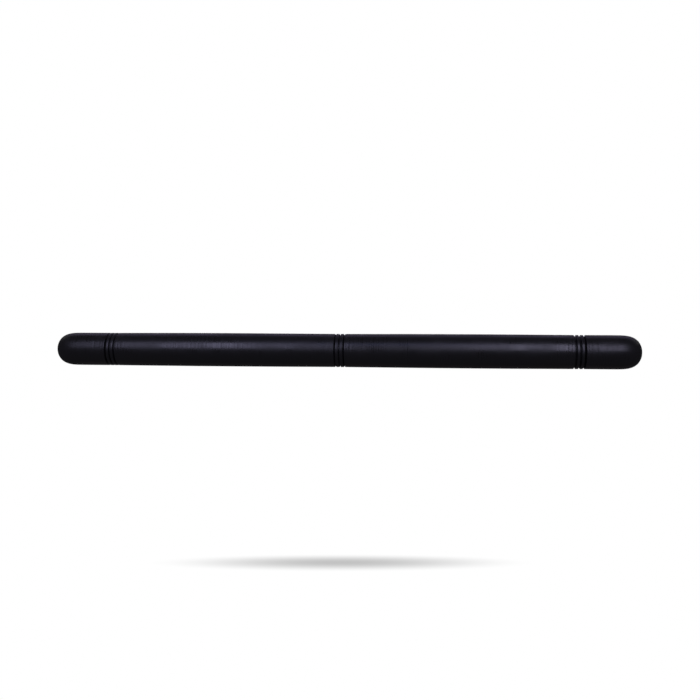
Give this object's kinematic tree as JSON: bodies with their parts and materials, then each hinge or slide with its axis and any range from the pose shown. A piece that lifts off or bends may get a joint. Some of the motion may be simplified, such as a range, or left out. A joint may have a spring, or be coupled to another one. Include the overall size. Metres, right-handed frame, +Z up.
{
  "type": "devil stick",
  "caption": "Straight black juggling stick with a wooden core, a rubber skin, turned grip grooves at the middle and both ends, and push-on domed rubber end caps.",
  "frame": {"origin": "balance point of the stick: half way along its axis, at the middle groove", "axes": "X runs along the stick's axis, from the left end cap to the right one; Z is up with the stick lying level; Y completes the frame"},
  "size_m": [0.6, 0.0346, 0.0346],
  "materials": {
    "core_wood": "matte",
    "skin_rubber": "satin",
    "cap_rubber": "satin",
    "weight_steel": "satin",
    "fastener_steel": "satin"
  },
  "bodies": {
    "stick": {"core_rod": "core_wood", "centre_ring": "skin_rubber", "left_sleeve": "skin_rubber", "right_sleeve": "skin_rubber", "left_end_weight": "weight_steel", "right_end_weight": "weight_steel", "left_weight_washer": "fastener_steel", "right_weight_washer": "fastener_steel", "left_weight_screw": "fastener_steel", "right_weight_screw": "fastener_steel"},
    "left_cap": {"left_end_cap": "cap_rubber"},
    "right_cap": {"right_end_cap": "cap_rubber"}
  },
  "joints": [
    {"name": "left_cap_pull", "type": "slide", "parent": "stick", "child": "left_cap", "axis": [-1, 0, 0], "range_m": [0, 0.045]},
    {"name": "right_cap_pull", "type": "slide", "parent": "stick", "child": "right_cap", "axis": [1, 0, 0], "range_m": [0, 0.045]}
  ]
}
